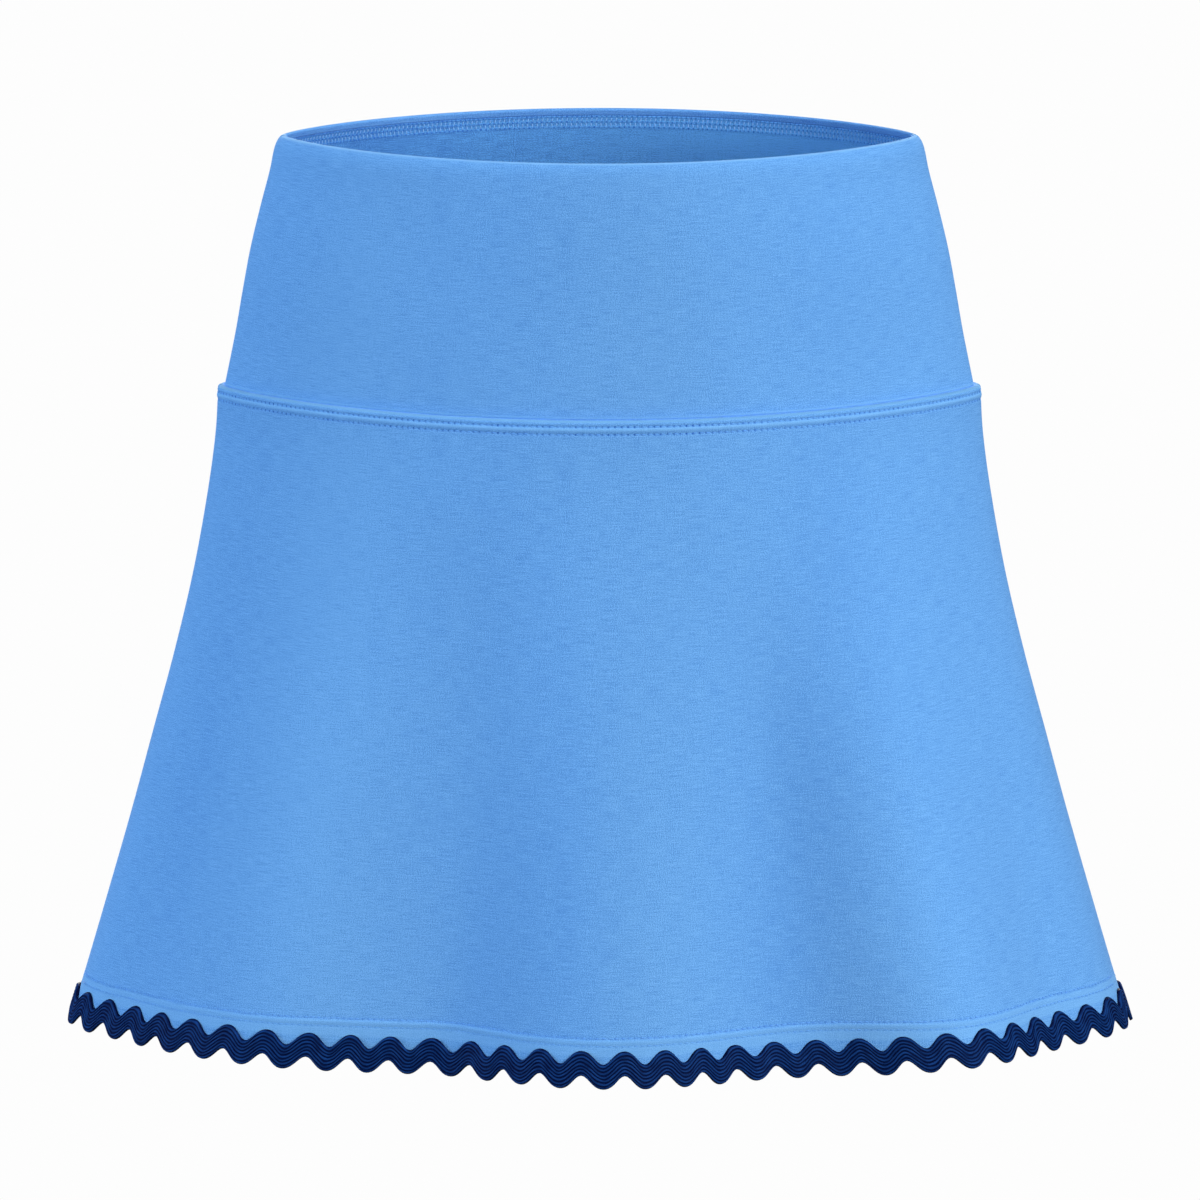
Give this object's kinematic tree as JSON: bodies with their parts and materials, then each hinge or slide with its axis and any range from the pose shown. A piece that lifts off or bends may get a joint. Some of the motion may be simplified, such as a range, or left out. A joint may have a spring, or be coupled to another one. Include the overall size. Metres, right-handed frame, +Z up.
{
  "type": "sports skirt",
  "caption": "Pull-on flared sports skirt with a deep fitted waistband and wavy braid round its hem, filled out as it is worn.",
  "frame": {"origin": "centre of the waist opening, level with its top edge, where the wearer's waist holds it", "axes": "+Z up out of the waist opening, -Y towards the front of the garment, X across it from side seam to side seam"},
  "size_m": [0.4412, 0.3098, 0.3686],
  "materials": {
    "knit": "matte heathered stretch knit",
    "facing_knit": "matte stretch knit, inside face",
    "braid": "satin woven wavy braid"
  },
  "bodies": {
    "root": {"waistband_front": "knit", "waistband_back": "knit", "facing_front": "facing_knit", "facing_back": "facing_knit", "skirt_front": "knit", "skirt_back": "knit", "rickrack_front": "braid", "rickrack_back": "braid"}
  },
  "joints": []
}
